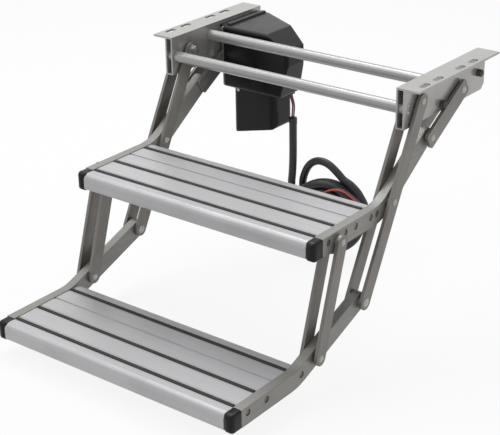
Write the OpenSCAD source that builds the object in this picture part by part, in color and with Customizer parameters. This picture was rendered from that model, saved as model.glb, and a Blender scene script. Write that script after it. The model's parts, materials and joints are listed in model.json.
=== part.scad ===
// Folding double step for a caravan door, with a motor drive.
// Frame: X to the right seen from the front, Y towards the vehicle, Z up.
// The origin is the middle of the slot pattern on top of the bracket flanges.
// Side-plane points are written [y, z]. Right-hand pieces are drawn and mirrored for the left.

/* [Treads] */
// Clear width of a deck between its two rails
deck_w = 400; // [320:5:480]
// First grip strip to the front face of the nose
nose_reach = 24; // [22:0.5:28]
// First grip strip to the rear edge of the deck
deck_rear = 130; // [127:0.5:134]
// Thickness of the deck plate
deck_t = 2.2; // [1.8:0.1:2.4]
// Outer radius of the nose
nose_r = 9; // [6:0.5:12]
// Deck top to the lower edge of the nose
nose_drop = 23; // [20:0.5:26]
// Outer radius of the rear edge
rear_r = 5; // [3.5:0.5:5.5]
// Deck top to the lower edge of the rear wall
rear_drop = 14; // [12:0.5:18]
// Depth of the turned-in lips under nose and rear edge
lip_d = 10; // [6:0.5:14]
// First grip strip to the second
second_strip = 43; // [40:0.5:48]
// First grip strip to the third
third_strip = 111; // [108:0.5:114]
// First grip strip to the plain groove
groove_at = 77; // [70:0.5:90]
// Width of the plain groove
groove_w = 4.5; // [2:0.5:6]
// Depth of the plain groove
groove_deep = 1.2; // [0.3:0.1:1.4]
// Width of a grip strip's channel
strip_w = 6; // [4:0.2:7]
// Depth of a grip strip's channel
strip_deep = 2.2; // [1.6:0.1:2.6]
// How far a grip strip stands above the deck
strip_proud = 0.4; // [0.2:0.1:0.8]
// Bare end of the channel at each end of a grip strip
strip_short = 2.5; // [0.5:0.5:6]
// Width of the sunk band around a grip strip
band_w = 12; // [8:0.5:14]
// Depth of the sunk band
band_deep = 0.5; // [0.3:0.1:0.8]
// Thickness of the plate under a grip strip
pad_t = 4.4; // [3.8:0.1:4.6]

/* [Rails] */
// Width of a rail
rail_w = 14; // [13.5:0.5:16]
// Height of a rail
rail_h = 26; // [24:0.5:30]
// Rail top above the deck top
rail_over = 1; // [0:0.25:2]
// Wall of a rail
rail_wall = 2; // [1.5:0.25:3]
// Bend radius of a rail, at its middle
bend_r = 80; // [60:5:100]
// How far an end cap stands in front of the nose
cap_proud = 1.5; // [0.5:0.5:3]
// Length of an end cap along the rail
cap_l = 21; // [18:0.5:22]
// Upper corner radius of an end cap seen from the side
cap_r = 10; // [6:0.5:11]
// Lower corner radius of an end cap seen from the side
cap_low_r = 5; // [3:0.5:8]
// Corner radius of an end cap seen from above
cap_plan_r = 9; // [6:0.5:9.5]
// The same radius on the side of the deck
cap_inner_r = 4; // [2:0.5:4.5]
// Length of an end cap's plug inside the rail
plug_l = 8; // [5:0.5:9]
// Deck top down to the deck screws
screw_z = 8.4; // [8:0.1:9]
// Radius of a deck screw
screw_r = 2.25; // [1.5:0.25:2.75]
// Radius of a deck screw's head
screw_head_r = 3.8; // [3.2:0.1:4.2]
// Length of a deck screw inside the deck
screw_grip = 16; // [8:1:24]

/* [Links] */
// Thickness of a link bar
bar_t = 5; // [3:0.5:6]
// Running gap between a rail and an inner link bar
bar_gap = 0.5; // [0.4:0.1:1]
// Gap between a rail and an outer link bar, which the collars bridge
outer_gap = 4; // [3:0.25:5]
// Width of a long link bar
long_bar_w = 22; // [18:1:24]
// Width of a short link bar
short_bar_w = 21; // [18:1:21]
// Width of a crank strip
crank_w = 26; // [24:1:28]
// Top pivot of the long links to the upper tread's pivot
link_half = 145; // [138:1:150]
// How far a crank strip reaches past its pivots
crank_over = 11; // [9:0.5:12]
// Corner radius of a crank strip
crank_corner = 5; // [3:0.5:6]
// Lean of the long links from upright
link_lean = 28; // [26:0.5:30]
// Upper tread: first grip strip to the long link pivot
upper_pivot_y = 156; // [154:1:160]
// Upper tread: long link pivot to the crank eye
upper_arm = 117; // [114:0.5:119]
// Upper tread: slope of the rail ends
upper_rise = 33.7; // [32:0.1:35]
// Upper tread: first grip strip back to the short link pivot
short_pivot_y = 29.5; // [27:0.5:30]
// Upper tread: deck top down to the short link pivot
short_pivot_z = 13.5; // [13.5:0.25:14]
// Lower tread: first grip strip to the long link pivot
lower_pivot_y = 265; // [260:1:270]
// Lower tread: deck top up to the long link pivot
lower_pivot_z = 43; // [40:1:46]
// Lower tread: first grip strip to the short link eye
lower_eye_y = 157.5; // [154:0.5:162]
// Lower tread: deck top up to the short link eye
lower_eye_z = 3.5; // [2:0.5:6]

/* [Brackets] */
// Origin to the front end of a bracket
bracket_front = 96; // [94:1:110]
// Origin to the rear end of a bracket
bracket_rear = 128; // [122:1:128]
// Flange top to the bottom of a bracket
bracket_h = 60; // [56:1:60]
// Width of the bracket's box
box_w = 13.5; // [12:0.5:15]
// Wall of the bracket's box
box_wall = 2.5; // [2:0.25:3]
// Floor of the bracket's box
box_floor = 2; // [1.5:0.25:2.5]
// Thickness of the flange
flange_t = 3; // [2.5:0.25:5]
// Width of the flange
flange_w = 36.5; // [34:0.5:46]
// Cut corner at the lower rear end
corner_cut = 8; // [8:0.5:14]
// Middle of the box to the row of bolt slots
slot_x = 20.25; // [19:0.25:22]
// Width of a bolt slot
slot_w = 9; // [7:0.5:10]
// Length of a bolt slot
slot_l = 22; // [16:0.5:24]
// Middle of the bracket to the middle of a pair of slots
slot_pair_y = 48.5; // [40:0.5:52]
// Slot to slot within a pair
slot_pitch = 36; // [30:0.5:40]
// Long link pivot in front of the origin
link_y = 57; // [55:0.5:59]
// Long link pivot below the flange top
link_z = 27; // [26:0.5:28]
// Crank hub behind the origin
crank_y = 55; // [53:0.5:56]
// Crank hub below the flange top
crank_z = 41; // [40:0.5:42]
// Turn of the cranks from unfolded to folded
crank_swing = 139.7; // [136:0.1:142]
// Outer radius of a cross tube
tube_r = 8.5; // [7:0.25:9]
// Wall of a cross tube
tube_wall = 1.5; // [1:0.25:2.5]
// Front cross tube in front of the origin
front_tube_y = 85; // [84:0.5:86]
// Front cross tube below the flange top
front_tube_z = 32; // [30:0.5:34]
// Rear cross tube in front of the origin
rear_tube_y = 4; // [2:0.5:8]
// Rear cross tube below the flange top
rear_tube_z = 17; // [15:0.5:20]
// Radius of a tube rivet
tube_rivet_r = 1.5; // [1:0.1:1.8]
// Length of the plug in each end of the front tube
tube_plug_l = 14; // [10:1:24]

/* [Pivots and stops] */
// Radius of the long link bolts
bolt_r = 4; // [3.5:0.25:4.75]
// Radius of the tread pivot pins
pin_r = 4; // [3.5:0.25:4.75]
// Radius of a pivot pin's head
pin_head_r = 5.5; // [5.25:0.25:7]
// Radius of the heads at the lower tread's pivots
foot_head_r = 7; // [5.5:0.25:9]
// Height of a pivot pin's head
pin_head_h = 1.8; // [1.4:0.2:2.6]
// Radius of a pin's collar between a rail and an outer bar
pin_collar_r = 7; // [6:0.25:9]
// Radius of the short link pins
short_pin_r = 4; // [3.25:0.25:4.5]
// Radius of a short link pin's head
short_head_r = 5.5; // [5.25:0.25:7]
// Radius of a crank shaft
shaft_r = 5; // [4.5:0.25:6]
// Wall of a pivot bush
bush_wall = 2.5; // [1.5:0.25:3]
// Flange of a bush past its outside
bush_flange = 2.5; // [1.5:0.25:3]
// Radius of the rivets in the two free eyes
eye_r = 4.5; // [3.5:0.25:5]
// Radius of a link bolt's round head
bolt_head_r = 5.5; // [5.25:0.25:7]
// Height of a link bolt's round head
bolt_head_h = 2.2; // [1.6:0.2:3]
// Across the corners of a pivot nut, half
hex_r = 7.5; // [6.5:0.25:8]
// Radius of a washer
washer_r = 8.5; // [8.25:0.25:10]
// Thickness of a washer
washer_t = 1.6; // [1:0.2:2.4]
// Height of a pivot nut
nut_h = 6.5; // [5:0.5:8]
// Radius of a rubber stop buffer
buffer_r = 5.5; // [4.75:0.25:7]
// Length of a rubber stop buffer
buffer_l = 9; // [8:0.5:12]
// Deploy stop: distance along the crank from its hub
deploy_stop_at = 48; // [40:1:56]
// Retract stop: distance along the crank from its hub
retract_stop_at = 50; // [44:1:56]
// Radius of a buffer's screw
buffer_screw_r = 3; // [2:0.25:3.5]
// Radius of a buffer screw's head
buffer_head_r = 5.6; // [4.5:0.1:6]
// Height of a buffer screw's head
buffer_head_h = 4; // [2:0.25:4]

/* [Drive] */
// Motor cover: right-hand side, left of the middle plane
cover_right = 64; // [58:1:70]
// Motor cover: front face behind the origin
cover_front = 15; // [14:0.5:18]
// Motor cover: depth of its right-hand side
cover_side = 41; // [38:1:48]
// Motor cover: depth against the base plate
cover_depth = 113; // [108:1:118]
// Motor cover: flat top below the flange top
cover_top = 6; // [5:0.5:8]
// Motor cover: start of the sloping shoulder, left of the middle plane
shoulder_x = 107; // [100:1:115]
// Motor cover: lower edge of the sloping shoulder
shoulder_z = 24; // [20:1:30]
// Motor cover: lower edge of the upright side
side_z = 50; // [45:1:55]
// Motor cover: how far the side draws in towards the bottom
side_draft = 14; // [8:1:15]
// Motor cover: bottom below the flange top
cover_bottom = 106; // [102:1:108]
// Wall of the covers
cover_wall = 2.2; // [1.6:0.2:3]
// Corner radius of the motor cover
cover_r = 5; // [4:0.5:7]
// Gap from the inner crank strip to the motor's base plate
base_gap = 1; // [0.6:0.1:2]
// Thickness of the base plate
base_t = 2; // [1.5:0.25:3]
// Radius of a standoff
standoff_r = 5; // [3.5:0.25:5]
// Standoffs below the flange top
standoff_z = 14; // [12:0.5:16]
// Standoff to standoff
standoff_pitch = 38; // [34:1:40]
// Outer radius of the gearbox
gearbox_r = 26; // [22:0.5:28]
// Length of the gearbox
gearbox_l = 41; // [36:1:44]
// Outer radius of the motor
motor_r = 24; // [20:0.5:25]
// Length of the motor
motor_l = 38; // [30:1:40]
// Length of the crank shaft inside the gearbox
shaft_grip = 24; // [16:1:30]
// Control box: left side, left of the middle plane
control_left = 188; // [186:0.5:189]
// Control box: right side, left of the middle plane
control_right = 105; // [102:1:112]
// Control box: front face behind the origin
control_front = 34; // [32:0.5:38]
// Control box: rear face behind the origin
control_rear = 84; // [78:1:90]
// Control box: lowest edge below the flange top
control_low = 187; // [176:1:192]
// Control box: rise of its bottom from left to right
control_rise = 17; // [8:1:22]
// Control box: radius of its lower rear edge
control_round = 30; // [20:1:34]
// Control box: radius of its other corners
control_r = 7; // [4:0.5:9]
// Control box: radius of its upright edges
control_plan_r = 9; // [6:0.5:9]
// Thickness of the circuit board
board_t = 1.6; // [1:0.2:2.4]

/* [Lead] */
// Diameter of the sheathed lead
lead_d = 12.5; // [11:0.1:12.7]
// Diameter of a single wire
wire_d = 2.6; // [2:0.1:2.8]
// Turns of the hanging coil
coil_turns = 4.45; // [4.4:0.01:4.5]
// Outermost radius of the coil, at the middle of the lead
coil_r = 64; // [62:0.5:65]
// Step from turn to turn and from layer to layer
coil_step = 13.2; // [13.2:0.1:13.5]
// Turn of the coil's plane about the upright
coil_twist = 20; // [16:1:22]
// Radius of the lead's connector
connector_r = 8; // [7:0.25:8.5]
// Length of the lead's connector
connector_l = 26; // [20:1:30]

/* [Hidden] */
$fn = 64;
// Clearance of a pin, shaft, screw or tube in its hole
fit = 0.05;
// Clearance between flat faces that turn on each other
slide = 0.2;
// Clearance between a stop buffer and a crank strip
stop_gap = 0.4;
// Overlap of a cut past the face that it opens
past = 1;
// Overlap that joins a rail's sloping end to its bend
seam = 1;

// Layers across the width, right-hand side
rail_in = deck_w / 2;
rail_out = rail_in + rail_w;
inner_bar_x = rail_in - bar_gap - bar_t;
outer_bar_x = rail_out + outer_gap;
outer_bar_end = outer_bar_x + bar_t;
side_mid = (inner_bar_x + bar_t + outer_bar_x) / 2;
box_in = side_mid - box_w / 2;
box_out = side_mid + box_w / 2;

// Pivots in the side plane
link_dir = [-sin(link_lean), -cos(link_lean)];
long_top = [-link_y, -link_z];
long_mid = long_top + link_half * link_dir;
long_foot = long_top + 2 * link_half * link_dir;
crank_hub = [crank_y, -crank_z];
upper_home = long_mid - [upper_pivot_y, 0];
crank_eye = long_mid + upper_arm * [cos(upper_rise), sin(upper_rise)];
short_top = upper_home + [short_pivot_y, -short_pivot_z];
lower_home = long_foot - [lower_pivot_y, lower_pivot_z];
short_foot = lower_home + [lower_eye_y, lower_eye_z];
lower_span = long_foot - short_foot;
lower_rise = atan2(lower_span[1], lower_span[0]);
spacer_in = 1;
bolt_past_nut = 1;
front_tube = [-front_tube_y, -front_tube_z];
rear_tube = [-rear_tube_y, -rear_tube_z];
// The tube rivets lie as far apart as the plug in the tube allows
tube_rivet_edge = 0.2;
tube_rivet_z = tube_r - tube_wall - tube_rivet_r - tube_rivet_edge;
tube_rivet_head = 1.4;

// Rails
rail_mid_z = rail_over - rail_h / 2;
cap_front = -nose_reach - cap_proud;
rail_front = cap_front + cap_l;
strip_places = [0, second_strip, third_strip];
last_screw_in = 4.6;
last_screw = deck_rear - last_screw_in;
upper_screw_places = [9, 48, 73, 110, last_screw];
lower_screw_places = [9, 48, last_screw];
pad_edge = 1;
boss_wall = 1.7;
web_t = 3;
// A deck screw's long head stands on the rail's inner wall and shows in a hole of the outer one
screw_sunk = 1.2;
screw_hole_gap = 1;

// Stops sit beside the crank strip where it ends its swing
crank_span = crank_eye - crank_hub;
crank_rest = atan2(crank_span[1], crank_span[0]);
stop_side = crank_w / 2 + buffer_r + stop_gap;
buffer_crown = 2;
buffer_bore = buffer_l - 2 * buffer_crown;
function beside_crank(along, turn, way) =
    crank_hub + along * [cos(turn), sin(turn)] + way * stop_side * [-sin(turn), cos(turn)];
deploy_stop = beside_crank(deploy_stop_at, crank_rest, -1);
retract_stop = beside_crank(retract_stop_at, crank_rest + crank_swing, 1);

// Drive
base_x = inner_bar_x - base_gap;
standoff_shift = 9;
standoff_places = [for (i = [-1:1]) [crank_y + standoff_shift + i * standoff_pitch, -standoff_z]];
drive_hole_gap = 2;
drive_hole_r = shaft_r + drive_hole_gap;
gearbox_flange = 2;
gearbox_flange_t = 4;
shaft_end_gap = 0.5;
shaft_head = 1;
motor_bell_l = 6;
board_y = 68;
board_inset = 12;
board_post_r = 3;
rib_count = 6;
rib_size = 2;
rib_out = 1.6;
rib_pitch = 4.5;
rib_low = 60;
ridge_in = 3;
ridge_w = 7;
ridge_h = 2.5;
// How far the motor cover's round edge draws in at the inside of the base plate
rim_in = cover_r - sqrt(pow(cover_r, 2) - pow(cover_r - base_t, 2));
cover_screw_r = 3;
cover_screw_h = 2;
cover_screw_in = 12;
cover_screw_down = 7.5;

// Lead: where the wires leave the motor cover
gland_at = [-90, 60];
gland_r = 5;
gland_flange = 1.2;
gland_h = 4;
gland_wire_gap = 1.7;
// Free stretches, points chosen by hand, in the order in which the lead runs
wire_route = [[-90, 60, -110], [-90, 60, -112.5], [-88.6, 59.8, -118], [-86, 59, -124], [-84.3, 58.4, -131],
    [-84.4, 58, -138], [-85, 58, -146], [-85, 58, -150]];
sheath_route = [[-85, 58, -150], [-85, 58, -165], [-85, 58, -185], [-85, 58, -205], [-84.9, 57.5, -222],
    [-84.6, 56, -238], [-84, 53, -254], [-83.5, 49, -270]];
tail_route = [[42.6, 79, -292], [41, 79, -279], [35, 78.5, -268.5], [27, 78, -258.5], [15, 76, -248.5],
    [4, 74.3, -243], [-8, 72.5, -232], [-22, 71, -222], [-33, 70, -218.5], [-44, 69, -219], [-54, 68, -224],
    [-62, 67, -233], [-68, 66.5, -246], [-71, 66, -258], [-71, 66, -272]];
pigtail_route = [[46, 68, -290.5], [46, 68, -288], [43.4, 66.8, -273.8], [33.5, 64.3, -264.9],
    [22.5, 60.8, -256.5], [10.8, 56.5, -251.6], [-2, 51.9, -252.5], [-13.3, 47.8, -257.8], [-22.7, 44.3, -266],
    [-28.3, 42.3, -276.5], [-30.2, 41.6, -287.5], [-30.2, 41.6, -290]];
coil_at = [-23, 60, -304.5];
coil_start = 180;
coil_rings = 24;
connector_neck_l = 8;
connector_step = 1.5;
splice_r = 5.2;
splice_l = 14;
pigtail_beside = [0, -4, 0];
terminal_r = 1.8;
terminal_l = 14;
tie_w = 4;
tie_t = 1.2;

// Shared shapes

// A side-plane outline carried across the width from x0
module across(x0, t) {
    translate([x0, 0, 0])
        rotate([90, 0, 90])
            linear_extrude(t)
                children();
}

// A round rod across the width at a side-plane point
module rod(at, r, x0, x1) {
    translate([x0, at[0], at[1]])
        rotate([0, 90, 0])
            cylinder(r = r, h = x1 - x0);
}

// A six-sided rod across the width
module hex_rod(at, r, x0, x1) {
    translate([x0, at[0], at[1]])
        rotate([0, 90, 0])
            cylinder(r = r, h = x1 - x0, $fn = 6);
}

// A rivet's domed head on the plane x0, bulging to the right or, with way -1, to the left
module dome(at, r, h, x0, way) {
    ball = (r * r + h * h) / (2 * h);
    translate([x0, at[0], at[1]])
        rotate([0, way * 90, 0])
            intersection() {
                translate([0, 0, h - ball])
                    sphere(ball);
                cylinder(r = r, h = h);
            }
}

module ring(at, r, hole, x0, x1) {
    difference() {
        rod(at, r, x0, x1);
        rod(at, hole, x0 - past, x1 + past);
    }
}

module at_side(side) {
    if (side > 0)
        children();
    else
        mirror([1, 0, 0])
            children();
}

module both_sides() {
    for (side = [-1, 1])
        at_side(side)
            children();
}

// A flat bar with round ends from a to b, drawn along its own line and then turned;
// holes is a list of [distance from a, radius]
module bar(a, b, w, x0, holes) {
    span = norm(b - a);
    translate([x0, a[0], a[1]])
        rotate([atan2(b[1] - a[1], b[0] - a[0]), 0, 0])
            across(0, bar_t)
                difference() {
                    union() {
                        circle(w / 2);
                        translate([span, 0]) circle(w / 2);
                        translate([0, -w / 2]) square([span, w]);
                    }
                    for (h = holes)
                        translate([h[0], 0]) circle(h[1]);
                }
}

// Frame

module bracket() {
    length = bracket_front + bracket_rear;
    difference() {
        translate([0, -bracket_front, 0])
            union() {
                translate([box_in, 0, -flange_t]) cube([flange_w, length, flange_t]);
                translate([box_in, 0, -bracket_h]) cube([box_wall, length, bracket_h - flange_t / 2]);
                translate([box_out - box_wall, 0, -bracket_h]) cube([box_wall, length, bracket_h - flange_t / 2]);
                translate([box_in, 0, -bracket_h]) cube([box_w, length, box_floor]);
            }
        across(box_in - past, box_w + 2 * past)
            polygon([[bracket_rear - corner_cut, -bracket_h], [bracket_rear + past, -bracket_h - past],
                [bracket_rear, -bracket_h + corner_cut]]);
        rod(long_top, bolt_r + fit, box_in - past, box_out + past);
        rod(crank_hub, shaft_r + bush_wall + fit, box_in - past, box_out + past);
        for (tube = [front_tube, rear_tube])
            rod(tube, tube_r + fit, box_in - past, box_in + box_wall + past);
        for (stop = [deploy_stop, retract_stop])
            rod(stop, buffer_screw_r + fit, box_in - past, box_out + past);
        for (up = [-1, 1])
            rod(front_tube + [0, up * tube_rivet_z], tube_rivet_r + fit, box_out - box_wall - past, box_out + past);
        for (pair = [-1, 1], end = [-1, 1])
            translate([side_mid + slot_x, pair * slot_pair_y + end * slot_pitch / 2, -flange_t - past])
                slot_cut();
    }
}

module slot_cut() {
    straight = slot_l - slot_w;
    depth = flange_t + 2 * past;
    for (end = [-1, 1])
        translate([0, end * straight / 2, 0])
            cylinder(r = slot_w / 2, h = depth);
    translate([-slot_w / 2, -straight / 2, 0])
        cube([slot_w, straight, depth]);
}

module left_bracket() { color("gainsboro") at_side(-1) bracket(); }
module right_bracket() { color("gainsboro") at_side(1) bracket(); }

module cross_tube(at) {
    reach = box_out - box_wall;
    ring(at, tube_r, tube_r - tube_wall, -reach, reach);
}

module front_cross_tube() { color("silver") cross_tube(front_tube); }
module rear_cross_tube() { color("silver") cross_tube(rear_tube); }

module tube_plugs() {
    color("gray")
        both_sides()
            difference() {
                rod(front_tube, tube_r - tube_wall - fit, box_out - box_wall - tube_plug_l, box_out - box_wall);
                for (up = [-1, 1])
                    rod(front_tube + [0, up * tube_rivet_z], tube_rivet_r + fit,
                        box_out - box_wall - tube_plug_l - past, box_out);
            }
}

module tube_rivets() {
    color("silver")
        both_sides()
            for (up = [-1, 1]) {
                at = front_tube + [0, up * tube_rivet_z];
                rod(at, tube_rivet_r, box_out - box_wall - tube_plug_l, box_out + tube_rivet_head / 2);
                dome(at, 2 * tube_rivet_r, tube_rivet_head, box_out, 1);
            }
}

module link_pivot_bolts() {
    head = outer_bar_end + slide;
    end = inner_bar_x - slide - washer_t - nut_h - bolt_past_nut;
    color("silver")
        both_sides() {
            rod(long_top, bolt_r, end, head + bolt_head_h / 2);
            dome(long_top, bolt_head_r, bolt_head_h, head, 1);
        }
}

module link_pivot_nuts() {
    face = inner_bar_x - slide;
    color("silver")
        both_sides() {
            ring(long_top, washer_r, bolt_r + fit, face - washer_t, face);
            difference() {
                hex_rod(long_top, hex_r, face - washer_t - nut_h, face - washer_t);
                rod(long_top, bolt_r + fit, face - washer_t - nut_h - past, face);
            }
        }
}

module link_spacers() {
    r = long_bar_w / 2 - spacer_in;
    color("dimgray")
        both_sides() {
            ring(long_top, r, bolt_r + fit, box_out, outer_bar_x - slide);
            ring(long_top, r, bolt_r + fit, inner_bar_x + bar_t + slide, box_in);
        }
}

module crank_bushes() {
    r = shaft_r + bush_wall;
    color("dimgray")
        both_sides() {
            difference() {
                union() {
                    rod(crank_hub, r, box_out - box_wall, outer_bar_x - slide);
                    rod(crank_hub, r + bush_flange, box_out, outer_bar_x - slide);
                }
                rod(crank_hub, shaft_r + fit, box_in, outer_bar_end);
            }
            difference() {
                union() {
                    rod(crank_hub, r, inner_bar_x + bar_t + slide, box_in + box_wall);
                    rod(crank_hub, r + bush_flange, inner_bar_x + bar_t + slide, box_in);
                }
                rod(crank_hub, shaft_r + fit, inner_bar_x, box_out);
            }
        }
}

module stop_buffers() {
    crown = box_out + buffer_l - buffer_crown;
    color("saddlebrown")
        both_sides()
            for (stop = [deploy_stop, retract_stop])
                difference() {
                    union() {
                        rod(stop, buffer_r, box_out, crown);
                        dome(stop, buffer_r, buffer_crown, crown, 1);
                    }
                    rod(stop, buffer_screw_r + fit, box_out - past, box_out + buffer_bore);
                }
}

module buffer_screws() {
    color("silver")
        both_sides()
            for (stop = [deploy_stop, retract_stop]) {
                rod(stop, buffer_screw_r, box_in - buffer_head_h / 2, box_out + buffer_bore);
                hex_rod(stop, buffer_head_r, box_in - buffer_head_h, box_in);
            }
}

// Drive: sealed gear motor on a base plate, inside two covers, on the left bracket

// A plan or profile with every corner rounded; the points are the corners' centres
module soft_outline(centres, r) {
    hull()
        for (p = centres)
            translate(p) circle(r, $fn = 32);
}

// Corner centres of the motor cover and of its base plate seen from the side
cover_corners = [for (y = [cover_front + cover_r, cover_front + cover_depth - 2 * cover_r],
    z = [-cover_top - cover_r, -cover_bottom + cover_r]) [y, z]];

// Space of the motor cover, drawn in by inset on every face but the open left one,
// cut from its outlines seen from above, from the front and from the side
module cover_space(inset, open) {
    rim = -base_x + cover_r;
    left = rim - open;
    right = -cover_right - cover_r;
    back = cover_front + cover_depth - 2 * cover_r;
    rise = (back - cover_front - cover_side) / (right - rim);
    plan = [[left, cover_front + cover_r], [right, cover_front + cover_r],
        [right, cover_front + cover_side], [left, back + open * rise]];
    profile = [[left, -cover_top - cover_r], [-shoulder_x, -cover_top - cover_r],
        [right, -shoulder_z - cover_r], [right, -side_z],
        [right - side_draft, -cover_bottom + cover_r], [left, -cover_bottom + cover_r]];
    intersection() {
        across(left - cover_r, right - left + 2 * cover_r)
            soft_outline(cover_corners, cover_r - inset);
        translate([0, 0, -cover_bottom])
            linear_extrude(cover_bottom)
                soft_outline(plan, cover_r - inset);
        translate([0, cover_front + cover_depth, 0])
            rotate([90, 0, 0])
                linear_extrude(cover_depth)
                    soft_outline(profile, cover_r - inset);
    }
}

module motor_cover() {
    color([0.18, 0.18, 0.18]) {
        difference() {
            cover_space(0, 0);
            cover_space(cover_wall, 4 * cover_r);
            translate([-base_x - cover_r, 0, -cover_bottom - past])
                cube([cover_r + base_t, cover_front + cover_depth + past, cover_bottom]);
            translate([gland_at[0], gland_at[1], -cover_bottom - past])
                cylinder(r = gland_r + fit, h = cover_wall + 2 * past);
        }
        for (i = [0:rib_count - 1])
            translate([-cover_right - cover_r - rib_size, cover_front - rib_out, -rib_low + i * rib_pitch])
                cube([1.5 * rib_size, 2 * rib_out, rib_size]);
        // A ridge runs along the lid's left side
        translate([-base_x + ridge_in, cover_front + 2 * cover_r, -cover_top - rim_in + fit])
            cube([ridge_w, cover_depth - 4 * cover_r, rim_in + ridge_h]);
        // A thin lip closes the slit between the cover's top and the bracket
        translate([-box_in + slide, cover_front + cover_r, -cover_top - rim_in + fit])
            cube([box_in - slide - base_x + 2 * cover_r, cover_depth - 3 * cover_r, rim_in - fit]);
    }
}

// The plate closes the cover's open side, so it has the outline of the cover's rim
module motor_base_plate() {
    color("gray")
        difference() {
            across(-base_x, base_t)
                soft_outline(cover_corners, cover_r - rim_in);
            rod(crank_hub, drive_hole_r, -base_x - past, -base_x + base_t + past);
        }
}

module motor_standoffs() {
    color("silver")
        for (at = standoff_places)
            rod(at, standoff_r, -box_in, -base_x);
}

module gearbox_case() {
    start = -base_x + base_t;
    color("darkgray")
        difference() {
            union() {
                rod(crank_hub, gearbox_r, start, start + gearbox_l);
                rod(crank_hub, gearbox_r + gearbox_flange, start, start + gearbox_flange_t);
            }
            rod(crank_hub, shaft_r + fit, start - past, start + shaft_grip + shaft_end_gap);
        }
}

module motor_can() {
    start = -base_x + base_t + gearbox_l;
    color("dimgray") {
        rod(crank_hub, motor_r, start, start + motor_l);
        rod(crank_hub, motor_r / 2, start + motor_l, start + motor_l + motor_bell_l);
    }
}

// Space of the control box under the motor cover; its lower rear edge is round
module control_space(inset, open) {
    top = -cover_bottom + open;
    low_left = -control_low + control_r;
    low_right = -control_low + control_rise + control_r;
    front = [[-control_left + control_r, top], [-control_right - control_r, top],
        [-control_right - control_r, low_right], [-control_left + control_r, low_left]];
    plan = [for (x = [-control_left + control_plan_r, -control_right - control_plan_r],
        y = [control_front + control_plan_r, control_rear - control_plan_r]) [x, y]];
    r = control_round - inset;
    intersection() {
        translate([0, 0, -control_low])
            linear_extrude(control_low)
                soft_outline(plan, control_plan_r - inset);
        translate([0, control_rear, 0])
            rotate([90, 0, 0])
                linear_extrude(control_rear - control_front)
                    soft_outline(front, control_r - inset);
        across(-control_left, control_left - control_right)
            union() {
                translate([control_front + inset, -control_low + inset])
                    square([control_rear - control_front - control_round - inset, control_low]);
                translate([control_front + inset, -control_low + control_round])
                    square([control_rear - control_front - 2 * inset, control_low]);
                translate([control_rear - control_round, -control_low + control_round])
                    intersection() {
                        circle(r);
                        translate([0, -control_round]) square(control_round);
                    }
            }
    }
}

module control_cover() {
    half = (control_left + control_right) / 2;
    color([0.18, 0.18, 0.18]) {
        difference() {
            control_space(0, control_r + past);
            control_space(cover_wall, 3 * control_r);
            translate([-control_left - past, 0, -cover_bottom])
                cube([control_left, control_rear + past, cover_bottom]);
        }
        for (x = [-half - board_inset, -half + board_inset])
            translate([x, control_rear - cover_wall / 2, -cover_bottom - 2 * board_inset])
                rotate([90, 0, 0])
                    cylinder(r = board_post_r, h = control_rear - cover_wall / 2 - board_y - board_t);
    }
}

module control_board() {
    low = -control_low + control_rise + 2 * board_inset;
    color("darkgreen")
        translate([-control_left + board_inset, board_y, low])
            cube([control_left - control_right - 2 * board_inset, board_t, -cover_bottom - board_inset / 2 - low]);
}

module cover_screws() {
    color("silver")
        for (face = [control_front, control_rear + cover_screw_h])
            translate([-control_left + cover_screw_in, face, -cover_bottom - cover_screw_down])
                rotate([90, 0, 0])
                    cylinder(r = cover_screw_r, h = cover_screw_h);
}

// Lead: two wires, sheath, hanging coil, tail with its connector, and a pigtail of two wires

function unit(v) = v / norm(v);
function tangents(path) =
    [for (i = [0:len(path) - 1]) unit(path[min(i + 1, len(path) - 1)] - path[max(i - 1, 0)])];
function square_to(v, t) = unit(v - (v * t) * t);
function carried(t, start) =
    [for (i = 0, n = square_to(start, t[0]); i < len(t);
        i = i + 1, n = i < len(t) ? square_to(n, t[i]) : n) n];

// A round tube of one closed skin along a path
module tube_along(path, d, sides) {
    t = tangents(path);
    n = carried(t, [0, 1, 0.1]);
    last = len(path) - 1;
    points = [for (i = [0:last], k = [0:sides - 1])
        path[i] + d / 2 * (cos(360 * k / sides) * n[i] + sin(360 * k / sides) * cross(t[i], n[i]))];
    walls = [for (i = [0:last - 1], k = [0:sides - 1], half = [0, 1])
        let (a = i * sides + k, b = i * sides + (k + 1) % sides)
            half == 0 ? [a, a + sides, b] : [b, a + sides, b + sides]];
    first_end = [for (k = [1:sides - 2]) [0, k, k + 1]];
    last_end = [for (k = [1:sides - 2]) [last * sides, last * sides + k + 1, last * sides + k]];
    polyhedron(points, concat(walls, first_end, last_end));
}

function moved(path, by) = [for (p = path) p + by];

// The coil winds in through one layer and out through the next, at a steady rate
coil_half = coil_turns / 2;
coil_inner = coil_r - coil_half * coil_step;
coil_e = [cos(coil_twist), sin(coil_twist), 0];
coil_n = [sin(coil_twist), -cos(coil_twist), 0];
function eased(u) = u <= 0 ? 0 : u >= 1 ? 1 : u * u * (3 - 2 * u);
function coil_point(turn) =
    let (r = coil_inner + coil_step * abs(turn - coil_half),
        a = coil_start + 360 * turn,
        layer = eased(2 * (turn - coil_half) + 0.5) - 0.5)
    coil_at + r * (cos(a) * coil_e + sin(a) * [0, 0, 1]) + layer * coil_step * coil_n;
coil_steps = ceil(coil_turns * coil_rings);
coil_wound = [for (i = [0:coil_steps]) coil_point(coil_turns * i / coil_steps)];
coil_in_way = unit(coil_wound[1] - coil_wound[0]);
coil_out_way = unit(coil_wound[coil_steps] - coil_wound[coil_steps - 1]);
coil_in = coil_wound[0] - lead_d * coil_in_way;
coil_out = coil_wound[coil_steps] + lead_d * coil_out_way;
coil_path = concat([coil_in], coil_wound, [coil_out]);
coil_apart = [for (i = [0:coil_steps], j = [0:coil_steps])
    if (j - i > coil_rings / 2) norm(coil_wound[i] - coil_wound[j])];
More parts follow.
